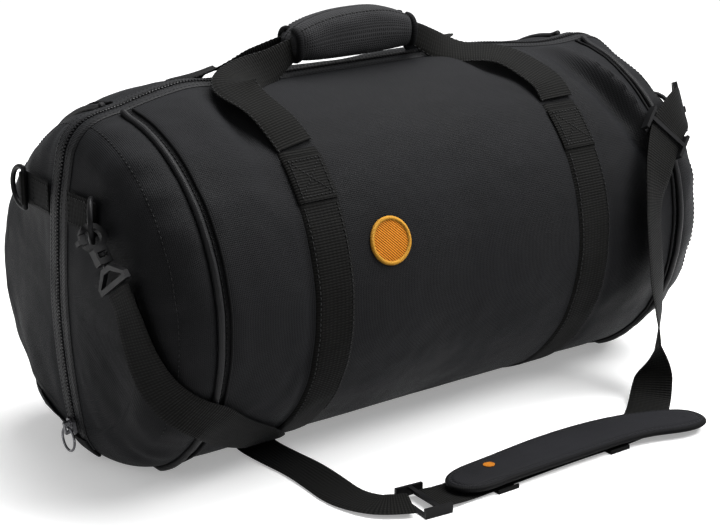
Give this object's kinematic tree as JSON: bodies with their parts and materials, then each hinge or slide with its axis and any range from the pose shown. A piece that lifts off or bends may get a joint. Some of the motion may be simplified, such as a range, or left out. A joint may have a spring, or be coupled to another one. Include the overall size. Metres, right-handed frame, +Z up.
{
  "type": "telescope carry case",
  "caption": "Padded round carry case that unzips lengthwise into two halves, with twin carry handles, end rings and a detachable padded shoulder strap.",
  "frame": {"origin": "middle of the flat underside that the case rests on", "axes": "+X along the bag, -Y the front with the shoulder strap, +Z up"},
  "size_m": [0.666, 0.4392, 0.361],
  "materials": {
    "nylon": "woven nylon, soft sheen",
    "webbing": "ribbed webbing",
    "foam": "closed-cell foam",
    "lining": "smooth lining",
    "piping": "covered piping",
    "zip_tape": "woven tape",
    "zip_teeth": "nylon coil",
    "grip": "padded wrap",
    "pad": "padded nylon",
    "binding": "edge tape",
    "badge": "embroidered patch",
    "hardware": "black, satin",
    "steel": "dark nickel",
    "plastic": "moulded, satin"
  },
  "bodies": {
    "front_half": {"far_cap_front_cover": "nylon", "far_cap_front_foam": "foam", "far_front_tab": "webbing", "far_hook_eye": "hardware", "far_strap": "webbing", "front_badge": "badge", "front_bands": "webbing", "front_cover": "nylon", "front_foam": "foam", "front_handle_anchors": "webbing", "front_lining": "lining", "front_piping": "piping", "front_zip_tape": "zip_tape", "front_zip_teeth": "zip_teeth", "near_cap_front_cover": "nylon", "near_cap_front_foam": "foam", "near_front_tab": "webbing", "near_hook_eye": "hardware", "near_strap": "webbing", "zip_end_patches": "binding"},
    "rear_half": {"far_cap_rear_cover": "nylon", "far_cap_rear_foam": "foam", "far_rear_tab": "webbing", "near_cap_rear_cover": "nylon", "near_cap_rear_foam": "foam", "near_rear_tab": "webbing", "rear_bands": "webbing", "rear_cover": "nylon", "rear_foam": "foam", "rear_handle_anchors": "webbing", "rear_lining": "lining", "rear_piping": "piping", "rear_zip_tape": "zip_tape", "rear_zip_teeth": "zip_teeth"},
    "front_handle": {"front_handle_webbing": "webbing", "front_grip_pad": "grip"},
    "rear_handle": {"rear_handle_webbing": "webbing", "rear_grip_pad": "grip"},
    "near_zip_slider": {"near_slider": "steel"},
    "far_zip_slider": {"far_slider": "steel"},
    "near_zip_pull": {"near_pull_ring": "steel"},
    "far_zip_pull": {"far_pull_ring": "steel"},
    "near_front_ring": {"near_front_d_ring": "hardware"},
    "far_front_ring": {"far_front_d_ring": "hardware"},
    "near_rear_ring": {"near_rear_d_ring": "hardware"},
    "far_rear_ring": {"far_rear_d_ring": "hardware"},
    "near_snap_hook": {"near_hook": "hardware"},
    "far_snap_hook": {"far_hook": "hardware"},
    "near_hook_gate": {"near_gate": "hardware"},
    "far_hook_gate": {"far_gate": "hardware"},
    "near_strap_adjuster": {"near_adjuster": "plastic"},
    "far_strap_adjuster": {"far_adjuster": "plastic"},
    "pad": {"shoulder_pad_foam": "foam", "shoulder_pad_cover": "pad", "shoulder_pad_binding": "binding", "pad_keepers": "webbing"}
  },
  "joints": [
    {"name": "rear_half_opens", "type": "hinge", "parent": "front_half", "child": "rear_half", "pos_m": [0, 0.11601, 0.038], "axis": [-1, 0, 0], "range_deg": [0, 85]},
    {"name": "front_handle_swing", "type": "hinge", "parent": "front_half", "child": "front_handle", "pos_m": [0, -0.1033, 0.2756], "axis": [1, 0, 0], "range_deg": [0, 155]},
    {"name": "rear_handle_swing", "type": "hinge", "parent": "rear_half", "child": "rear_handle", "pos_m": [0, 0.1033, 0.2756], "axis": [-1, 0, 0], "range_deg": [0, 155]},
    {"name": "near_slider_travel", "type": "hinge", "parent": "front_half", "child": "near_zip_slider", "pos_m": [0.41272, 0, 0.1525], "axis": [0, 1, 0], "range_deg": [0, 18.3]},
    {"name": "near_pull_swing", "type": "hinge", "parent": "near_zip_slider", "child": "near_zip_pull", "pos_m": [-0.31106, 0, 0.03462], "axis": [0, 1, 0], "range_deg": [-3, 120]},
    {"name": "near_rear_ring_swing", "type": "hinge", "parent": "rear_half", "child": "near_rear_ring", "pos_m": [-0.30989, 0.058, 0.232], "axis": [0, 0, 1], "range_deg": [0, 150]},
    {"name": "near_front_ring_rock", "type": "hinge", "parent": "front_half", "child": "near_front_ring", "pos_m": [-0.30989, -0.058, 0.232], "axis": [0, 0, -1], "range_deg": [-1, 1]},
    {"name": "near_hook_swivel", "type": "hinge", "parent": "front_half", "child": "near_snap_hook", "pos_m": [-0.3129, -0.0963, 0.1893], "axis": [-0.1379, 0.5576, 0.8185], "range_deg": [-4, 4]},
    {"name": "near_gate_press", "type": "hinge", "parent": "near_snap_hook", "child": "near_hook_gate", "pos_m": [-0.32726, -0.07622, 0.21877], "axis": [0, 0.8264, -0.563], "range_deg": [0, 9], "stiffness_Nm_per_rad": 0.02, "springref_deg": -10},
    {"name": "near_adjuster_slide", "type": "slide", "parent": "front_half", "child": "near_strap_adjuster", "axis": [0.9945, -0.1045, 0], "range_m": [-0.002, 0.002]},
    {"name": "far_slider_travel", "type": "hinge", "parent": "front_half", "child": "far_zip_slider", "pos_m": [-0.41272, 0, 0.1525], "axis": [0, -1, 0], "range_deg": [0, 18.3]},
    {"name": "far_pull_swing", "type": "hinge", "parent": "far_zip_slider", "child": "far_zip_pull", "pos_m": [0.31106, 0, 0.03462], "axis": [0, -1, 0], "range_deg": [-3, 120]},
    {"name": "far_rear_ring_swing", "type": "hinge", "parent": "rear_half", "child": "far_rear_ring", "pos_m": [0.30989, 0.058, 0.232], "axis": [0, 0, -1], "range_deg": [0, 150]},
    {"name": "far_front_ring_rock", "type": "hinge", "parent": "front_half", "child": "far_front_ring", "pos_m": [0.30989, -0.058, 0.232], "axis": [0, 0, 1], "range_deg": [-1, 1]},
    {"name": "far_hook_swivel", "type": "hinge", "parent": "front_half", "child": "far_snap_hook", "pos_m": [0.29837, -0.1091, 0.24709], "axis": [0.5266, 0.7743, -0.3509], "range_deg": [-4, 4]},
    {"name": "far_gate_press", "type": "hinge", "parent": "far_snap_hook", "child": "far_hook_gate", "pos_m": [0.32591, -0.08483, 0.23569], "axis": [0.033, 0.3939, 0.9186], "range_deg": [0, 9], "stiffness_Nm_per_rad": 0.02, "springref_deg": -10},
    {"name": "far_adjuster_slide", "type": "slide", "parent": "front_half", "child": "far_strap_adjuster", "axis": [0.7376, 0.3565, 0.5735], "range_m": [-0.002, 0.002]},
    {"name": "pad_slide", "type": "slide", "parent": "front_half", "child": "pad", "axis": [1, 0, 0], "range_m": [-0.003, 0.006]}
  ]
}
